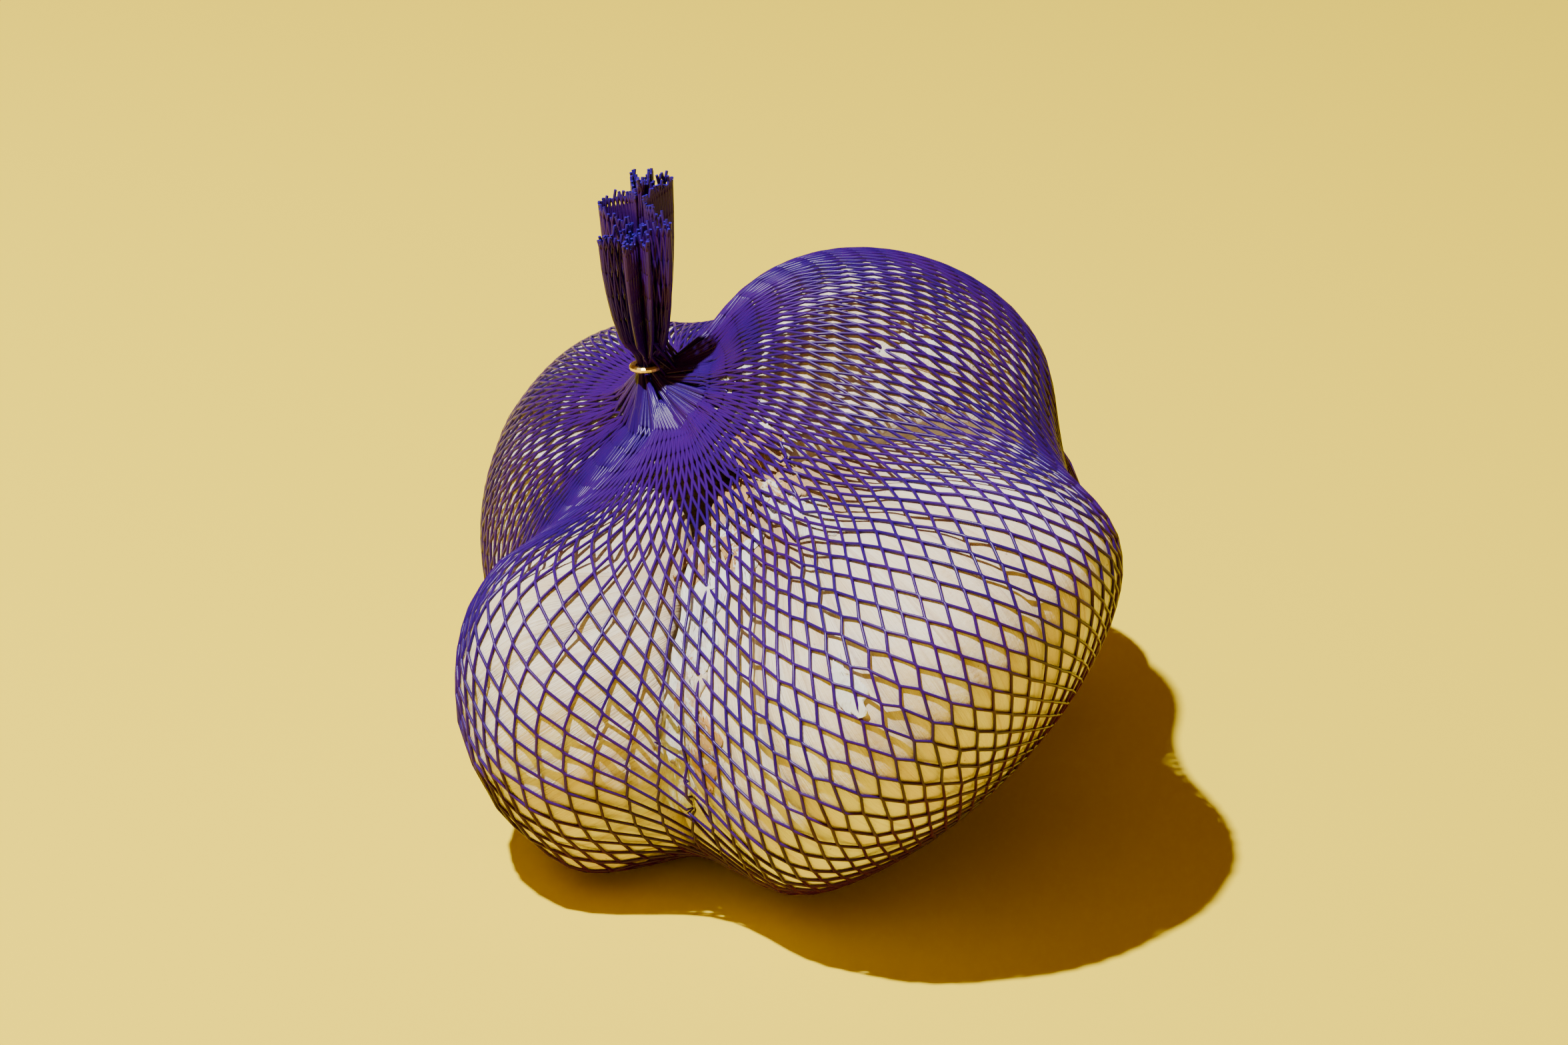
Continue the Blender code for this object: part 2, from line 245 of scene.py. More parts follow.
def solid_of(node):
    """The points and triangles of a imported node."""
    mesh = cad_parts[node].data
    points = np.empty(len(mesh.vertices) * 3)
    mesh.vertices.foreach_get("co", points)
    mesh.calc_loop_triangles()
    triangles = np.empty(len(mesh.loop_triangles) * 3, np.int32)
    mesh.loop_triangles.foreach_get("vertices", triangles)
    return points.reshape(-1, 3), triangles.reshape(-1, 3)


def skins_of(objects):
    """One search tree over several meshes."""
    points = []
    faces = []
    for obj in objects:
        base = len(points)
        points += [tuple(vertex.co) for vertex in obj.data.vertices]
        faces += [[base + corner for corner in face.vertices] for face in obj.data.polygons]
    return BVHTree.FromPolygons(points, faces)


def middle_of(points, triangles):
    """Centre of volume."""
    corners = points[triangles]
    start = points.mean(0)
    volumes = np.linalg.det(corners - start)
    wedge_middles = (corners.mean(1) - start) * 0.75
    return start + (wedge_middles * volumes[:, None]).sum(0) / volumes.sum()


def reaches(tree, middle, directions):
    """How far each ray from the middle goes until it meets the tree's surface."""
    flat = directions.reshape(-1, 3)
    found = [tree.ray_cast(Vector(middle), Vector(direction))[3] for direction in flat]
    return np.array(found, float).reshape(directions.shape[:-1])


def finer(grid, rows, columns):
    """A grid that is closed across and open down, with more rows and columns put between."""
    down = np.linspace(0.0, len(grid) - 1.0, rows)
    top = np.minimum(down.astype(int), len(grid) - 2)
    grid = grid[top] + (grid[top + 1] - grid[top]) * (down - top)[:, None]
    across = np.arange(columns) * grid.shape[1] / columns
    left = across.astype(int)
    return grid[:, left] + (grid[:, (left + 1) % grid.shape[1]] - grid[:, left]) * (across - left)


def fan(axis, tilts, turns):
    """Directions as [tilt, turn], each tilt measured from the axis and each turn round it."""
    side, other = frame_of(axis)
    around = np.cos(turns)[:, None] * side + np.sin(turns)[:, None] * other
    return np.cos(tilts)[:, None, None] * unit(axis) + np.sin(tilts)[:, None, None] * around


def distances(tree, points):
    """How far each point is from the tree's surface."""
    return np.array([tree.find_nearest(Vector(point))[3] for point in points])


def swelled(node, middle, directions, reach):
    """The reach, grown into the shallow valleys under the net until it meets the next bulb."""
    gap = np.maximum(reaches(net_tree, middle, directions) - reach - FILL_ROOM, 0.0)
    fade = np.clip(2.0 - gap / FILL_DEPTH, 0.0, 1.0)
    down = directions @ -unit(BULB_NECKS[node])
    off_root = np.clip((reach * np.sqrt(1.0 - down * down) - ROOT_PLATE) / ROOT_RIM, 0.0, 1.0)
    growth = gap * fade * fade * (3.0 - 2.0 * fade) * np.where(down > 0.0, off_root, 1.0)
    others = skins_of([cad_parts[name] for name in BULB_NECKS if name != node])
    own = skins_of([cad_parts[node]])
    free = growth > FILL_LEAST
    held = np.ones(free.sum(), bool)
    share = np.zeros(free.sum())
    for step in range(1, FILL_STEPS + 1):
        points = middle + directions[free] * (reach[free] + growth[free] * step / FILL_STEPS)[:, None]
        held &= distances(own, points) < distances(others, points) - PRESSED_GAP
        share[held] = step / FILL_STEPS
    fuller = reach.copy()
    fuller[free] += growth[free] * share
    return fuller


def softened(grid, rounds):
    """A grid that is closed across and open down, smoothed a little in each round."""
    for _ in range(rounds):
        grid = (np.roll(grid, 1, 1) + 2.0 * grid + np.roll(grid, -1, 1)) / 4.0
        framed = np.concatenate([grid[:1], grid, grid[-1:]])
        grid = (framed[:-2] + 2.0 * framed[1:-1] + framed[2:]) / 4.0
    return grid


def grid_mesh(name, rows, top, bottom):
    """A closed skin over rows of points that run from a top pole down to a bottom pole."""
    count = rows.shape[1]
    points = np.concatenate([rows.reshape(-1, 3), [top, bottom]])
    column = np.arange(count)
    follow = (column + 1) % count
    base = np.arange(len(rows) - 1)[:, None] * count
    quads = np.stack([base + column, base + count + column, base + count + follow, base + follow], -1)
    last = (len(rows) - 1) * count
    caps = [(len(points) - 2, int(c), int(f)) for c, f in zip(column, follow)]
    caps += [(len(points) - 1, last + int(f), last + int(c)) for c, f in zip(column, follow)]
    mesh = bpy.data.meshes.new(name)
    mesh.from_pydata(points.tolist(), [], quads.reshape(-1, 4).tolist() + caps)
    mesh.shade_smooth()
    obj = bpy.data.objects.new(name, mesh)
    bpy.context.scene.collection.objects.link(obj)
    return obj


def clove_backs(turns, count, draw):
    """0 in the valleys between cloves and 1 on their backs, and how deep each valley may go."""
    edges = (np.arange(count) + draw.uniform(-VALLEY_SHIFT, VALLEY_SHIFT, count)) / count * tau
    depths = draw.uniform(VALLEY_LEAST, 1.0, count)
    place = np.mod(turns - edges[0], tau)
    edges = np.append(edges - edges[0], tau)
    which = np.searchsorted(edges, place, side="right") - 1
    share = (place - edges[which]) / (edges[which + 1] - edges[which])
    depth = depths[which] * (1.0 - share) + depths[(which + 1) % count] * share
    return np.sin(pi * share) ** CLOVE_ROUND, depth


def make_bulb(node):
    """The visible bulb, with an attribute for the grain of its skin."""
    draw = np.random.default_rng(sorted(BULB_NECKS).index(node) + 3)
    points, triangles = solid_of(node)
    tree = BVHTree.FromPolygons(points.tolist(), triangles.tolist())
    middle = middle_of(points, triangles)
    tilts = np.linspace(TOP_TILT, END_TILT, DOWN)
    turns = np.arange(AROUND) * tau / AROUND
    directions = fan(BULB_NECKS[node], tilts, turns)
    coarse = fan(BULB_NECKS[node], np.linspace(tilts[0], tilts[-1], COARSE_DOWN),
                 np.arange(COARSE_AROUND) * tau / COARSE_AROUND)
    reach = swelled(node, middle, coarse, softened(reaches(tree, middle, coarse), 2))
    reach = softened(finer(softened(reach, 1), DOWN, AROUND), 6)
    backs, depth = clove_backs(turns, CLOVES[node], draw)
    flank = np.sin(tilts)[:, None] ** CLOVE_TAPER
    lift = SKIN_SWELL - CLOVE_VALLEY * flank * (1.0 - backs) * depth
    shift = Vector(middle) * PATTERN_SHIFT
    rough = [noise.fractal(Vector(heading) * LUMPS + shift, 1.0, 2.0, 4)
             for heading in directions.reshape(-1, 3)]
    pleats = [noise.noise(Vector((WRINKLES_AROUND * cos(turn), WRINKLES_AROUND * sin(turn),
                                  WRINKLES_ALONG * tilt)) + shift)
              for tilt in tilts for turn in turns]
    near_neck = np.exp(-((tilts / NECK_WRINKLES) ** 2))[:, None]
    lift = lift + UNEVEN * np.reshape(rough, reach.shape)
    lift = lift + WRINKLE * near_neck * np.reshape(pleats, reach.shape)
    rows = middle + directions * (reach + lift)[..., None]
    obj = grid_mesh(node + "_skin", rows, rows[0].mean(0), rows[-1].mean(0))
    grain = np.concatenate([
        np.stack(np.broadcast_arrays(np.cos(turns), np.sin(turns), tilts[:, None] / pi), -1).reshape(-1, 3),
        [(0.0, 0.0, 0.0), (0.0, 0.0, 1.0)]])
    attribute = obj.data.attributes.new("grain", "FLOAT_VECTOR", "POINT")
    attribute.data.foreach_set("vector", grain.astype(np.float32).ravel())
    return obj


def feed(sheet, shader, **sockets):
    """Links what changes over a surface to the shader's sockets of those names."""
    for name, socket in sockets.items():
        sheet.tree.links.new(socket.socket, shader.inputs[name.replace("_", " ")])


def bumps(sheet, height, strength, distance):
    return sheet.add("ShaderNodeBump", {}, {"Strength": strength, "Distance": distance, "Height": height})


def skin_material():
    """Dry skin: cream with paler and browner streaks along the bulb, brown at the root and the neck."""
    material, shader, sheet = new_material("garlic_skin", Subsurface_Weight=0.12,
                                           Subsurface_Radius=(1.0, 0.7, 0.4), Subsurface_Scale=0.0015,
                                           Specular_IOR_Level=0.35)
    grain = sheet.add("ShaderNodeAttribute", {"attribute_name": "grain"}, {}, "Vector")
    place = sheet.add("ShaderNodeTexCoord", {}, {}, "Object")
    along = sheet.add("ShaderNodeSeparateXYZ", {}, {0: grain}, "Z")
    stretched = sheet.add("ShaderNodeMapping", {}, {"Vector": grain, "Scale": (1.0, 1.0, 0.10)})
    streaks = sheet.noise_at(stretched, 34.0, 5.0, 0.6)
    broad = sheet.noise_at(stretched, 6.0, 3.0, 0.5)
    cloud = sheet.noise_at(place, 60.0, 3.0, 0.5)
    specks = sheet.clamped(sheet.noise_at(place, 900.0, 2.0, 0.6), 0.70, 0.78)
    colour = sheet.mixed(sheet.clamped(broad, 0.35, 0.70), (0.94, 0.87, 0.70, 1.0), (0.82, 0.66, 0.40, 1.0))
    colour = sheet.mixed(sheet.clamped(streaks, 0.50, 0.70) * 0.75, colour, (0.62, 0.47, 0.30, 1.0))
    colour = sheet.mixed(sheet.clamped(cloud, 0.55, 0.75) * 0.5, colour, (0.95, 0.91, 0.84, 1.0))
    colour = sheet.mixed(specks * 0.6, colour, (0.36, 0.20, 0.10, 1.0))
    neck = 1.0 - sheet.clamped(along + streaks * 0.10, 0.13, 0.30)
    root = sheet.clamped(along - streaks * 0.03, 0.90, 0.945)
    colour = sheet.mixed(neck * 0.75, colour, (0.60, 0.34, 0.11, 1.0))
    colour = sheet.mixed(root * 0.9, colour, (0.30, 0.19, 0.10, 1.0))
    fibres = sheet.noise_at(stretched, 90.0, 4.0, 0.65)
    paper = sheet.noise_at(place, 1400.0, 3.0, 0.6)
    height = fibres * 0.6 + paper * 0.25 + streaks * 0.5
    feed(sheet, shader, Base_Color=colour, Roughness=0.42 + cloud * 0.25,
         Normal=bumps(sheet, height, 0.8, 0.0006))
    return material


garlic_skin = skin_material()
net_tree = skins_of([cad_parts["net"]])
bulbs = {}
for bulb_node in BULB_NECKS:
    bulb = make_bulb(bulb_node)
    bulb.data.materials.append(garlic_skin)
    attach(bulb, "root")
    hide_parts(bulb_node)
    bulbs[bulb_node] = bulb


# ---------------------------------------------------------------- roots
# The stubs of the trimmed roots stand on each bulb's sunk root plate.

ROOT_STUBS = {"Density": 1.1e6, "Length": 1.5 * MM, "Foot": 0.26 * MM, "Tip": 0.12 * MM}
STUB_DISC = 5.2 * MM  # radius that the stubs cover
STUB_RINGS = 6
STUB_SPOKES = 24
STUB_HOLE = 0.3  # of a ring, left open in the middle
STUB_SIDES = 6
STUB_LEAN = 0.7  # radians, to any side
STUB_SPIN = 6.28
STUB_SHORTEST = 0.45  # share of the full length


def new_tree(name, sizes):
    """A Geometry Nodes tree with named size inputs, its sheet and the sockets of its inputs."""
    tree = bpy.data.node_groups.new(name, "GeometryNodeTree")
    tree.interface.new_socket("Geometry", in_out="INPUT", socket_type="NodeSocketGeometry")
    for title, kind in sizes.items():
        tree.interface.new_socket(title, in_out="INPUT", socket_type=kind)
    tree.interface.new_socket("Geometry", in_out="OUTPUT", socket_type="NodeSocketGeometry")
    sheet = NodeSheet(tree)
    group = tree.nodes.new("NodeGroupInput")
    inputs = {socket.name: Socket(sheet, socket) for socket in group.outputs if socket.name}
    return tree, sheet, inputs


def finished(sheet, geometry, material):
    """Realize Instances and Set Material, which every tree ends in."""
    real = sheet.add("GeometryNodeRealizeInstances", {}, {"Geometry": geometry})
    painted = sheet.add("GeometryNodeSetMaterial", {}, {"Geometry": real, "Material": material})
    sheet.add("NodeGroupOutput", {}, {0: painted})


def grown(obj, tree, sizes, name):
    """The plain mesh that a Geometry Nodes tree makes of an object, which is then removed."""
    modifier = obj.modifiers.new("growth", "NODES")
    modifier.node_group = tree
    for item in tree.interface.items_tree:
        if item.in_out == "INPUT" and item.name in sizes:
            modifier[item.identifier] = sizes[item.name]
    bpy.context.view_layer.update()
    graph = bpy.context.evaluated_depsgraph_get()
    mesh = bpy.data.meshes.new_from_object(obj.evaluated_get(graph))
    mesh.name = name
    result = bpy.data.objects.new(name, mesh)
    bpy.context.scene.collection.objects.link(result)
    bpy.data.objects.remove(obj)
    return result


def stub_tree(material):
    """Scatters short tapered stubs over a surface, leaning every way."""
    tree, sheet, inputs = new_tree("root_stubs", {"Density": "NodeSocketFloat", "Length": "NodeSocketFloat",
                                                  "Foot": "NodeSocketFloat", "Tip": "NodeSocketFloat",
                                                  "Seed": "NodeSocketInt"})
    seed = inputs["Seed"]
    scattered = sheet.add("GeometryNodeDistributePointsOnFaces", {},
                          {"Mesh": inputs["Geometry"], "Density": inputs["Density"], "Seed": seed})
    upright = Socket(sheet, scattered.socket.node.outputs["Rotation"])
    stub = sheet.add("GeometryNodeMeshCone", {},
                     {"Vertices": STUB_SIDES, "Radius Top": inputs["Tip"], "Radius Bottom": inputs["Foot"],
                      "Depth": inputs["Length"]})
    lean = sheet.add("FunctionNodeRandomValue", {"data_type": "FLOAT_VECTOR"},
                     {0: (-STUB_LEAN, -STUB_LEAN, 0.0), 1: (STUB_LEAN, STUB_LEAN, STUB_SPIN), "Seed": seed})
    turned = sheet.add("FunctionNodeRotateRotation", {"rotation_space": "LOCAL"},
                       {"Rotation": upright, "Rotate By": lean})
    size = sheet.add("FunctionNodeRandomValue", {"data_type": "FLOAT"},
                     {2: STUB_SHORTEST, 3: 1.0, "Seed": seed}, 1)
    stubs = sheet.add("GeometryNodeInstanceOnPoints", {},
                      {"Points": scattered, "Instance": stub, "Rotation": turned, "Scale": size})
    finished(sheet, stubs, material)
    return tree


def root_disc(node):
    """The middle of a bulb's root plate as a mesh of its own, laid on the skin."""
    tree = skins_of([bulbs[node]])
    middle = middle_of(*solid_of(node))
    down = -unit(BULB_NECKS[node])
    side, other = frame_of(down)
    faces = []
    points = []
    for ring in range(STUB_RINGS):
        for spoke in range(STUB_SPOKES):
            turn = spoke * tau / STUB_SPOKES
            flat = STUB_DISC * (ring + STUB_HOLE) / STUB_RINGS * (cos(turn) * side + sin(turn) * other)
            start = Vector(middle + flat)
            points.append(start + Vector(down) * tree.ray_cast(start, Vector(down))[3])
            if ring:
                here = ring * STUB_SPOKES + spoke
                follow = ring * STUB_SPOKES + (spoke + 1) % STUB_SPOKES
                faces.append((here - STUB_SPOKES, here, follow, follow - STUB_SPOKES))
    mesh = bpy.data.meshes.new("root_disc")
    mesh.from_pydata(points, [], faces)
    if mesh.polygons[0].normal.dot(Vector(down)) < 0.0:
        mesh.flip_normals()
    obj = bpy.data.objects.new("root_disc", mesh)
    bpy.context.scene.collection.objects.link(obj)
    return obj


def stub_material():
    """Dry brown root ends with paler patches."""
    material, shader, sheet = new_material("dry_roots", Roughness=0.8)
    place = sheet.add("ShaderNodeTexCoord", {}, {}, "Object")
    patches = sheet.clamped(sheet.noise_at(place, 900.0, 2.0), 0.35, 0.65)
    feed(sheet, shader, Base_Color=sheet.mixed(patches, (0.20, 0.11, 0.05, 1.0), (0.52, 0.38, 0.20, 1.0)))
    return material


stub_growth = stub_tree(stub_material())
for number, bulb_node in enumerate(BULB_NECKS):
    stubs = grown(root_disc(bulb_node), stub_growth, {**ROOT_STUBS, "Seed": number}, bulb_node + "_roots")
    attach(stubs, "root")


# ---------------------------------------------------------------- loose skin
# Scraps of dry skin that have come away from the bulbs. The net holds them flat across the creases
# between the bulbs and by the clip.

# The brownest scraps lie in the creases; their brown is partly the skin's own colour and partly painted
# crease shade.
SCRAPS = (  # middle, direction of the length, half length and half width in millimetres, brownness
    ((-4.2, -13.5, 63.7), (0.5, -0.6, -0.4), 9.0, 4.0, 0.9),
    ((-9.1, -21.7, 58.2), (0.1, -0.8, -0.6), 8.0, 4.5, 1.0),
    ((-12.7, -25.2, 55.2), (-0.6, -0.5, -0.5), 6.0, 3.5, 0.8),
    ((-7.5, -29.7, 56.1), (0.2, -0.8, -0.5), 7.0, 2.6, 0.15),
    ((-14.5, -34.0, 51.5), (-0.1, -0.7, -0.6), 10.0, 4.0, 0.25),
    ((-15.5, -43.0, 45.5), (0.0, -0.5, -0.8), 9.0, 4.0, 0.1),
    ((-16.0, -50.0, 38.0), (0.0, -0.4, -0.9), 9.0, 3.6, 0.6),
    ((-13.0, -53.0, 31.0), (0.1, -0.2, -1.0), 6.0, 2.6, 0.95),
    ((-18.0, -49.5, 36.0), (0.0, -0.3, -0.9), 9.0, 3.4, 0.2),
    ((-17.8, -48.5, 27.0), (0.1, 0.1, -1.0), 8.0, 3.2, 0.5),
    ((-0.3, -26.6, 61.5), (0.7, -0.6, -0.3), 8.0, 3.0, 0.5),
    ((23.1, -0.9, 77.3), (0.9, 0.2, -0.3), 9.0, 3.2, 0.45),
    ((31.6, -0.4, 73.2), (0.8, -0.1, -0.5), 6.0, 2.4, 0.6),
    ((-14.3, 9.8, 68.4), (0.5, -0.7, 0.2), 5.5, 3.2, 0.2),
    ((-6.6, -1.2, 68.9), (0.5, -0.8, -0.1), 8.0, 4.2, 0.4),
    ((8.6, -66.9, 49.1), (0.3, -0.4, -0.8), 4.0, 2.2, 0.1),
)
SCRAP_LONG = 26
SCRAP_WIDE = 14
SCRAP_THICK = 0.10 * MM
SCRAP_LIFT = 0.12 * MM  # above the skin under it
SCRAP_UNDER_NET = 0.75 * MM
SCRAP_OPEN = 20.0 * MM  # below the net, where a scrap crosses a crease with no skin under it
SCRAP_EDGE = 1.2  # millimetres by which a scrap's sides wander
SCRAP_RIPPLE = 0.5 * MM
SCRAP_CURL = 1.5 * MM  # of the middle below the sides

upper = np.mean([np.array(corner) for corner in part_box("clip_top")], axis=0)
lower = np.mean([np.array(corner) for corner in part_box("clip_bottom")], axis=0)
hub = (upper + lower) / 2.0
bulb_skins = skins_of(bulbs.values())


def scrap_sheet(middle, along, half_length, half_width, draw):
    """Upper and lower points of one curled scrap, as [side, long, wide]."""
    middle = np.array(middle) * MM
    out = unit(middle - hub)
    length = unit(np.array(along) - out * np.dot(along, out))
    width = np.cross(out, length)
    u, v = np.meshgrid(np.linspace(-1.0, 1.0, SCRAP_LONG), np.linspace(-1.0, 1.0, SCRAP_WIDE), indexing="ij")
    shift = Vector(draw.uniform(0.0, 50.0, 3))
    ragged = [noise.noise(Vector((2.5 * a, 1.2 * b, 0.0)) + shift) for a, b in zip(u.flat, v.flat)]
    ragged = np.reshape(ragged, u.shape)
    forward = u * half_length * (1.0 + 0.5 * ragged)
    sideways = v * half_width * (1.0 - 0.75 * u * u) * (1.0 + 0.7 * ragged) + SCRAP_EDGE * ragged
    flat = forward[..., None] * length + sideways[..., None] * width
    headings = unit(middle + flat * MM - hub)
    net_reach = reaches(net_tree, hub, headings)
    skin_reach = np.empty(net_reach.shape)
    for place in np.ndindex(net_reach.shape):
        start = Vector(hub + headings[place] * (net_reach[place] + MM))
        hit = bulb_skins.ray_cast(start, -Vector(headings[place]))[3]
        skin_reach[place] = net_reach[place] + MM - (hit or SCRAP_OPEN)
    curl = SCRAP_RIPPLE * (ragged + 0.5) + SCRAP_CURL * (1.0 - np.abs(v)) * (0.5 - ragged)
    highest = net_reach - SCRAP_UNDER_NET - np.maximum(curl, 0.0)
    reach = np.maximum(highest, skin_reach + SCRAP_LIFT + SCRAP_THICK)
    return hub + headings * reach[..., None], hub + headings * (reach - SCRAP_THICK)[..., None]


def scraps_object():
    """All the scraps as one mesh, with an attribute for how brown each is, which in the creases is partly
    painted crease shade.
    """
    draw = np.random.default_rng(5)
    points = []
    faces = []
    brown_and_shade_values = []
    count = SCRAP_LONG * SCRAP_WIDE
    grid = np.arange(count).reshape(SCRAP_LONG, SCRAP_WIDE)
    quads = np.stack([grid[:-1, :-1], grid[1:, :-1], grid[1:, 1:], grid[:-1, 1:]], -1).reshape(-1, 4)
    rim = np.concatenate([grid[:, 0], grid[-1, 1:], grid[-2::-1, -1], grid[0, -2:0:-1]])
    for middle, along, half_length, half_width, brown_and_shade in SCRAPS:
        above, below = scrap_sheet(middle, along, half_length, half_width, draw)
        base = len(points)
        points += above.reshape(-1, 3).tolist() + below.reshape(-1, 3).tolist()
        brown_and_shade_values += [brown_and_shade] * (2 * count)
        faces += (quads + base).tolist() + (quads[:, ::-1] + base + count).tolist()
        faces += [(base + b, base + a, base + a + count, base + b + count)
                  for a, b in zip(rim, np.roll(rim, -1))]
    mesh = bpy.data.meshes.new("loose_skin_scraps")
    mesh.from_pydata(points, [], [tuple(int(corner) for corner in face) for face in faces])
    mesh.shade_smooth()
    mesh.attributes.new("brown_and_shade", "FLOAT", "POINT").data.foreach_set("value", np.array(brown_and_shade_values, np.float32))
    obj = bpy.data.objects.new("loose_skin_scraps", mesh)
    bpy.context.scene.collection.objects.link(obj)
    return obj


def scrap_material():
    """Thin papery skin, from white to orange brown, with fibres and darker spots; the orange brown of the
    scraps in the creases is partly painted crease shade.
    """
    material, shader, sheet = new_material("papery_scrap", Subsurface_Weight=0.2, Subsurface_Scale=0.001,
                                           Specular_IOR_Level=0.4)
    brown_and_shade = sheet.add("ShaderNodeAttribute", {"attribute_name": "brown_and_shade"}, {}, "Fac")
    place = sheet.add("ShaderNodeTexCoord", {}, {}, "Object")
    cloud = sheet.noise_at(place, 260.0, 4.0, 0.6)
    stretched = sheet.add("ShaderNodeMapping", {}, {"Vector": place, "Scale": (4.0, 0.6, 1.0)})
    fibres = sheet.noise_at(stretched, 900.0)
    # Partly painted shade: the scraps in the creases are set browner, for the shade that falls there as well
    # as for the skin's own colour.
    brown_and_crease_shade = sheet.clamped(brown_and_shade + (cloud - 0.5) * 1.1, 0.25, 0.95)
    colour = sheet.mixed(brown_and_crease_shade, (0.94, 0.89, 0.78, 1.0), (0.62, 0.33, 0.10, 1.0))
    colour = sheet.mixed(sheet.clamped(fibres, 0.55, 0.75) * 0.5, colour, (0.42, 0.22, 0.08, 1.0))
    feed(sheet, shader, Base_Color=colour, Roughness=0.35 + cloud * 0.3,
         Normal=bumps(sheet, fibres + cloud, 0.7, 0.0004))
    return material


scraps = scraps_object()
scraps.data.materials.append(scrap_material())
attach(scraps, "root")
covered = skins_of([*bulbs.values(), scraps])


# ---------------------------------------------------------------- net
# A tube of extruded diamond netting in violet plastic. All its strands run from the cut ends of the
# tuft, through the upper clip, over the bulbs and through the lower clip, and fuse where they cross.

TUFT_RADIUS = 7.2 * MM
TUFT_FLARE = 0.42  # the smaller, the sooner the tuft widens above the clip
TUFT_ROWS = 24
TUFT_SPARE = 0.5 * MM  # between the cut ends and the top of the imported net
TUFT_PLEATS = 8
PLEAT_DEPTH = 0.85  # share of the tuft's radius
TUFT_SLANT = 4.2 * MM  # by which the cut ends stand higher on the side named next
TUFT_SLANT_TO = (0.5, 0.85)
TUFT_LEAN = (-0.05, 0.02)  # sideways, for each unit of height
CUT_SHARE = 0.6  # of a row, between the cut plane and the first joint
CUT_LENGTHS = (0.3, 1.9)  # millimetres from the first joint to the cut end
MESH_SIDE = 4.2 * MM  # from one joint to the next
WIDEST_HALF = 0.85  # half a cell's width, at most, as a share of its side
COLUMNS = 130  # of cells round the tube
STRAND = 0.26 * MM  # radius
JOINT_SWELL = 1.35  # times the strand's radius
JOINT_HALF = 0.40 * MM  # half the length along which two strands run together
JOINT_OFFSET = 0.10 * MM  # from a joint's middle to the middle of each of its strands
STRAND_CLEAR = 0.33 * MM  # from the middle of a strand to the skin
SKIN_SEARCH = 8.0 * MM  # how far away a strand looks for the skin under it
NET_TOP = radians(14.0)  # where the net leaves and meets its clips, measured from the upper one
NET_END = radians(174.0)
GUIDE_DOWN = 150
GUIDE_AROUND = 360
GUIDE_SMOOTHING = 20  # rounds
BACK_TURN = 0.75  # share of a turn at which the numbering of the columns starts, at the back
BUNDLE = 1.40 * MM  # radius of the gathered strands inside a clip
NECK_HALF = 1.8 * MM
# Height above the lower clip's middle, and radius, of the rows that end the net.
LOWER_STUB = ((NECK_HALF, BUNDLE), (-NECK_HALF, BUNDLE), (-3.4 * MM, 2.4 * MM), (-4.8 * MM, 3.8 * MM))
NET_PIECES = 4
FOLDS = 16  # where the net is gathered below the clip
FOLD_HEIGHT = 0.9 * MM
FOLD_FADE = 19.0 * MM
STRAND_SIDES = 6

net_axis = unit(upper - lower)
net_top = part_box("net")[1][2]


def kept_clear(points, tree, room):
    """Points moved out of and away from a skin until they have this much room."""
    flat = points.reshape(-1, 3).copy()
    for place, point in enumerate(flat):
        found, normal, _, _ = tree.find_nearest(Vector(point), SKIN_SEARCH)
        if found is not None:
            height = (Vector(point) - found).dot(normal)
            if height < room:
                flat[place] = point + np.array(normal) * (room - height)
    return flat.reshape(points.shape)


def tuft_rows(heading, places):
    """Rows of the gathered net from its cut ends down through the upper clip, laid in pleats."""
    turns = np.arange(GUIDE_AROUND) * tau / GUIDE_AROUND
    pleats = 0.5 + 0.5 * np.cos(TUFT_PLEATS * turns + 1.3 * np.sin(2.0 * turns)
                                + 0.8 * np.sin(3.0 * turns + 1.0))
    slant = TUFT_SLANT * (heading[:, :2] @ unit(TUFT_SLANT_TO))
    tall = net_top - upper[2] - TUFT_SLANT - TUFT_SPARE
    rows = []
    for share in places:
        spread = max(sin(share * pi / 2.0), 0.0) ** TUFT_FLARE
        radius = BUNDLE + (TUFT_RADIUS - BUNDLE) * spread
        radius = radius * (1.0 - PLEAT_DEPTH * pleats)
        height = upper[2] + NECK_HALF + (tall - NECK_HALF) * share + slant * share
        row = upper + (radius[:, None] * heading) + np.array((*TUFT_LEAN, 0.0)) * tall * share
        row[:, 2] = height
        rows.append(row)
    return np.array(rows)


def guide_surface():
    """Rows of points on the net from the cut ends of the tuft down to those of the lower stub."""
    tilts = np.linspace(NET_TOP, NET_END, GUIDE_DOWN)
    turns = (np.arange(GUIDE_AROUND) / GUIDE_AROUND + BACK_TURN) * tau
    directions = fan(net_axis, tilts, turns)
    reach = softened(reaches(net_tree, hub, directions), GUIDE_SMOOTHING)
    rows = hub + directions * reach[..., None]
    rows = softened(kept_clear(rows, covered, STRAND_CLEAR), 3)
    away = np.linalg.norm(rows - upper, axis=2) / FOLD_FADE
    folds = np.cos(FOLDS * turns + 2.0 * np.sin(3.0 * turns) + 1.5 * np.sin(5.0 * turns + 2.0))
    rows = rows + directions * (FOLD_HEIGHT * np.exp(-away * away) * folds)[..., None]
    rows = kept_clear(rows, covered, STRAND_CLEAR)
    rows[..., 2] = np.maximum(rows[..., 2], STRAND)
    heading = unit(fan(net_axis, np.array([pi / 2.0]), turns)[0] * (1.0, 1.0, 0.0))
    gathered = tuft_rows(heading, np.linspace(1.0, 0.0, TUFT_ROWS))
    neck = gathered[-1] - (0.0, 0.0, 2.0 * NECK_HALF)
    stub = [lower + np.array((0.0, 0.0, height)) + radius * heading for height, radius in LOWER_STUB]
    return np.concatenate([gathered, neck[None], rows, np.array(stub)])


guide = guide_surface()


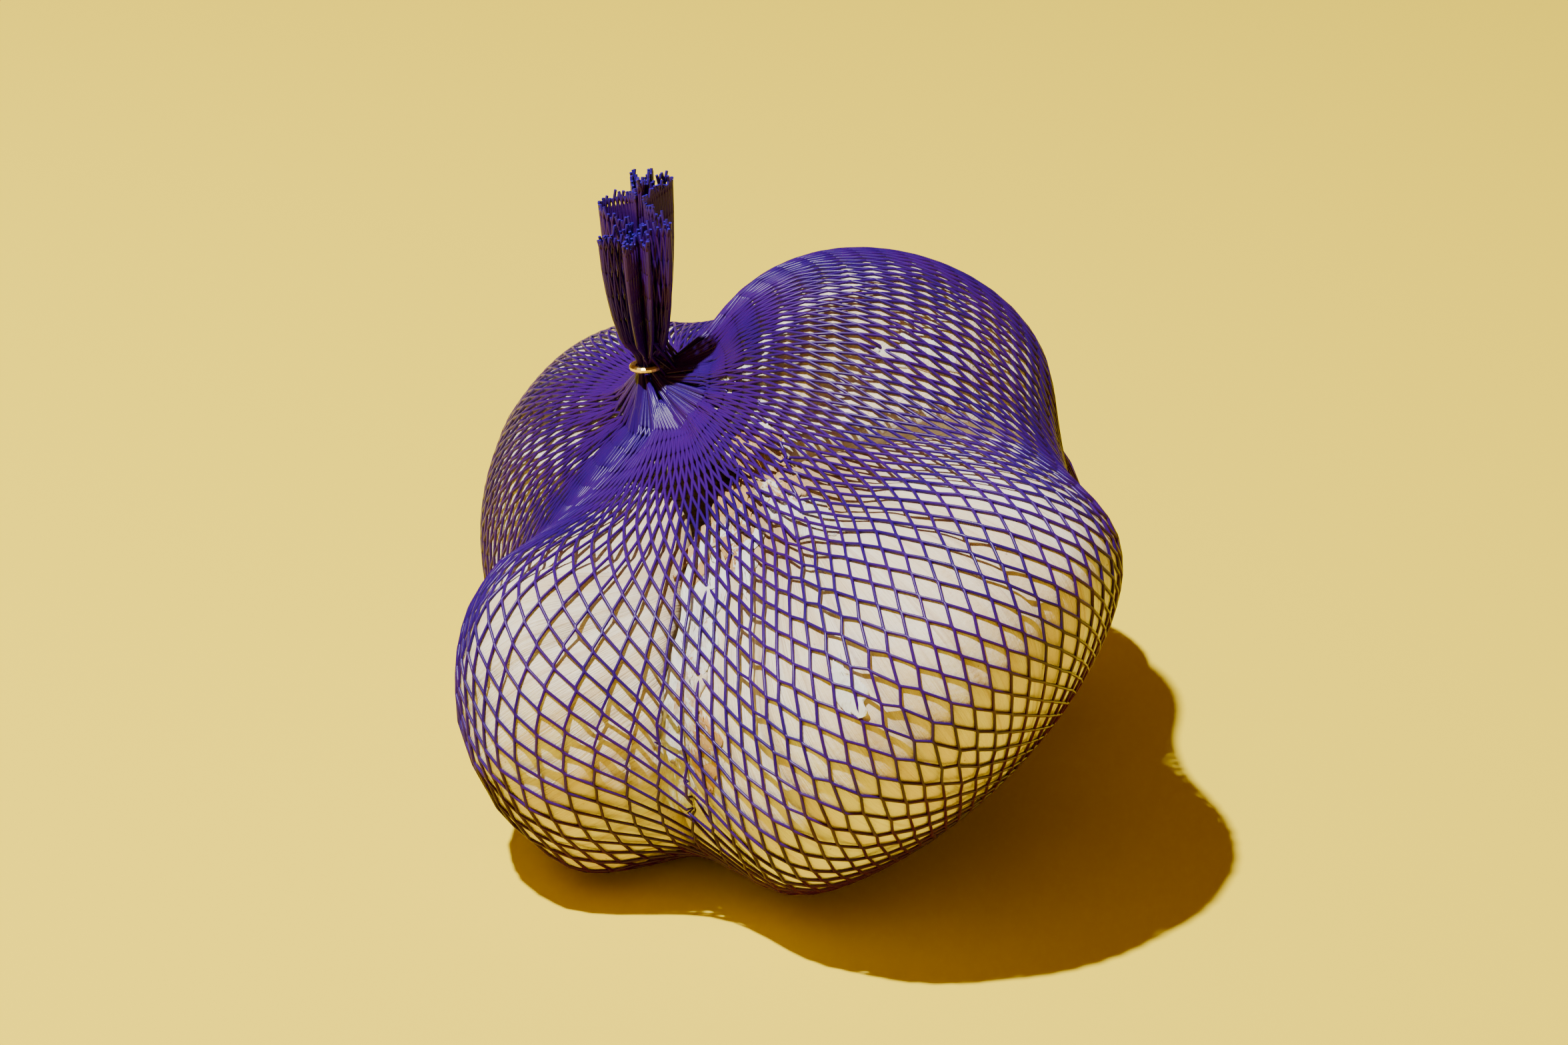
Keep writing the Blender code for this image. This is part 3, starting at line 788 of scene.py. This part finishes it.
def meridians(shift):
    """Guide lines at evenly spaced columns, as [row, column]."""
    places = (np.arange(COLUMNS) + shift) / COLUMNS * GUIDE_AROUND
    left = np.floor(places).astype(int)
    share = (places - left)[:, None]
    return guide[:, left % GUIDE_AROUND] * (1.0 - share) + guide[:, (left + 1) % GUIDE_AROUND] * share


def rows_passed(lines):
    """How many rows of joints lie between the cut ends and each point of each guide line."""
    steps = np.linalg.norm(np.diff(lines, axis=0), axis=2)
    widths = np.linalg.norm(np.roll(lines, -1, 1) - lines, axis=2)
    widths = (widths + np.roll(widths, 1, 1)) / 2.0
    half = np.minimum((widths[1:] + widths[:-1]) / 4.0, WIDEST_HALF * MESH_SIDE)
    counts = np.vstack([np.zeros(COLUMNS), np.cumsum(steps / np.sqrt(MESH_SIDE**2 - half**2), axis=0)])
    return softened(counts, 2) - CUT_SHARE


def joints_on(guide_lines):
    """Joints as [row, column], odd rows half a column further on, and which of them are on the net."""
    counted = [(lines, rows_passed(lines)) for lines in guide_lines]
    rows = int(max(counts[-1].max() for _, counts in counted))
    joints = np.empty((rows, COLUMNS, 3))
    real = np.empty((rows, COLUMNS), bool)
    for row in range(rows):
        lines, counts = counted[row % 2]
        real[row] = counts[-1] > row
        for column in range(COLUMNS):
            for k in range(3):
                joints[row, column, k] = np.interp(row, counts[:, column], lines[:, column, k])
    return joints, real


joints, on_net = joints_on([meridians(0.0), meridians(0.5)])


def beside(rows, row, step):
    """The joints to the left and right in the next row, above or below."""
    near = rows[min(max(row + step, 0), len(rows) - 1)]
    if row + step in (-1, len(rows)):
        return rows[row], rows[row]
    return (np.roll(near, 1, 0), near) if row % 2 == 0 else (near, np.roll(near, -1, 0))


def directions_at_joints(rows):
    """Unit vectors down the net and across it at each joint."""
    down = np.empty_like(rows)
    across = np.empty_like(rows)
    for row in range(len(rows)):
        up_left, up_right = beside(rows, row, -1)
        low_left, low_right = beside(rows, row, 1)
        down[row] = low_left + low_right - up_left - up_right
        across[row] = np.roll(rows[row], -1, 0) - np.roll(rows[row], 1, 0)
    return unit(down), unit(across)


joint_down, joint_across = directions_at_joints(joints)
end_draw = np.random.default_rng(11)
cut_lengths = {turning: end_draw.uniform(*CUT_LENGTHS, COLUMNS) for turning in (1, -1)}


def strand_points(turning, number):
    """One strand's points from its cut end down, with its thickness and how near the cut end they are, which
    sets the painted highlight there.
    """
    rows = np.arange(len(joints))
    columns = (number + rows // 2 if turning > 0 else number - (rows + 1) // 2) % COLUMNS
    rows = rows[on_net[rows, columns]]
    columns = columns[: len(rows)]
    centre = joints[rows, columns]
    ahead = JOINT_HALF * joint_down[rows, columns] + turning * JOINT_OFFSET * joint_across[rows, columns]
    leaving = centre + ahead
    coming = centre - ahead
    thick = np.full(len(rows), JOINT_SWELL)
    plain = np.ones(len(rows))
    path = np.stack([coming, centre, leaving], 1).reshape(-1, 3)
    sizes = np.stack([plain, thick, plain], 1).ravel()
    end = coming[0] + (coming[0] - centre[0]) / JOINT_HALF * MM * cut_lengths[turning][number]
    path = np.vstack([end, path])
    sizes = np.append(1.0, sizes)
    cut_end_highlight = np.zeros(len(path))
    cut_end_highlight[0] = 1.0
    return path, sizes, cut_end_highlight


def strand_lines(name, strands):
    """A mesh of loose edges that carries each strand's thickness and the mask of its cut end for the painted
    highlight.
    """
    paths, sizes, cut_end_highlights = zip(*[strand_points(*strand) for strand in strands])
    edges = []
    base = 0
    for path in paths:
        edges += [(base + k, base + k + 1) for k in range(len(path) - 1)]
        base += len(path)
    points = kept_clear(np.vstack(paths), covered, STRAND_CLEAR)
    points[:, 2] = np.maximum(points[:, 2], STRAND * JOINT_SWELL)
    mesh = bpy.data.meshes.new(name)
    mesh.from_pydata(points.tolist(), edges, [])
    for title, values in (("thickness", sizes), ("cut_end_highlight", cut_end_highlights)):
        attribute = mesh.attributes.new(title, "FLOAT", "POINT")
        attribute.data.foreach_set("value", np.concatenate(values).astype(np.float32))
    obj = bpy.data.objects.new(name, mesh)
    bpy.context.scene.collection.objects.link(obj)
    return obj


def strand_tree(material):
    """Sweeps a round section along each line, as thick as the line says."""
    tree, sheet, inputs = new_tree("strand_tubes", {"Strand radius": "NodeSocketFloat",
                                                    "Sides": "NodeSocketInt"})
    curve = sheet.add("GeometryNodeMeshToCurve", {}, {"Mesh": inputs["Geometry"]})
    thickness = sheet.add("GeometryNodeInputNamedAttribute", {"data_type": "FLOAT"}, {"Name": "thickness"})
    curve = sheet.add("GeometryNodeSetCurveRadius", {}, {"Curve": curve, "Radius": thickness})
    section = sheet.add("GeometryNodeCurvePrimitiveCircle", {},
                        {"Resolution": inputs["Sides"], "Radius": inputs["Strand radius"]})
    tube = sheet.add("GeometryNodeCurveToMesh", {},
                     {"Curve": curve, "Profile Curve": section, "Fill Caps": True})
    finished(sheet, sheet.add("GeometryNodeSetShadeSmooth", {}, {"Geometry": tube}), material)
    return tree


def net_material():
    """Glossy violet plastic, a little uneven in colour along a strand, with a painted highlight: the cut
    ends at the top of the tuft are painted brighter, as if lit from above.
    """
    material, shader, sheet = new_material("violet_plastic", Specular_IOR_Level=0.28,
                                           Subsurface_Weight=0.10, Subsurface_Scale=0.0006)
    cut_end_highlight = sheet.add("ShaderNodeAttribute", {"attribute_name": "cut_end_highlight"}, {}, "Fac")
    place = sheet.add("ShaderNodeTexCoord", {}, {}, "Object")
    uneven = sheet.noise_at(place, 70.0, 2.0)
    colour = sheet.mixed(sheet.clamped(uneven, 0.35, 0.65),
                         (0.026, 0.0, 0.150, 1.0), (0.044, 0.0, 0.165, 1.0))
    # Painted highlight: the cut ends of the tuft get a brighter blue, standing in for the light that falls
    # on their tops.
    colour = sheet.mixed(cut_end_highlight, colour, (0.03, 0.004, 0.30, 1.0))
    fine = sheet.noise_at(place, 2600.0, 2.0)
    feed(sheet, shader, Base_Color=colour, Roughness=0.22 + uneven * 0.2,
         Normal=bumps(sheet, fine, 0.15, 0.0001))
    return material


violet_plastic = net_material()
tubes = strand_tree(violet_plastic)
all_strands = [(turning, number) for number in range(COLUMNS) for turning in (1, -1)]
for piece in range(NET_PIECES):
    first, after = (number * len(all_strands) // NET_PIECES for number in (piece, piece + 1))
    lines = strand_lines("strand_lines", all_strands[first:after])
    net = grown(lines, tubes, {"Strand radius": STRAND, "Sides": STRAND_SIDES}, f"net_strands_{piece + 1}")
    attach(net, "root")
    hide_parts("net")


# ---------------------------------------------------------------- clips
# Golden wire wound once and a bit round the gathered net and pressed tight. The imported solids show.


def wire_material():
    """Bright brass-coloured wire with duller patches from handling."""
    material, shader, sheet = new_material("golden_wire", Metallic=1.0, Roughness=0.25)
    place = sheet.add("ShaderNodeTexCoord", {}, {}, "Object")
    worn = sheet.noise_at(place, 500.0, 3.0)
    colour = sheet.mixed(sheet.clamped(worn, 0.4, 0.7), (0.92, 0.66, 0.16, 1.0), (0.72, 0.55, 0.25, 1.0))
    feed(sheet, shader, Base_Color=colour, Roughness=0.18 + worn * 0.25)
    return material


golden_wire = wire_material()
for clip in ("clip_top", "clip_bottom"):
    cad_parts[clip].data.materials.clear()
    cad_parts[clip].data.materials.append(golden_wire)

bpy.context.view_layer.update()
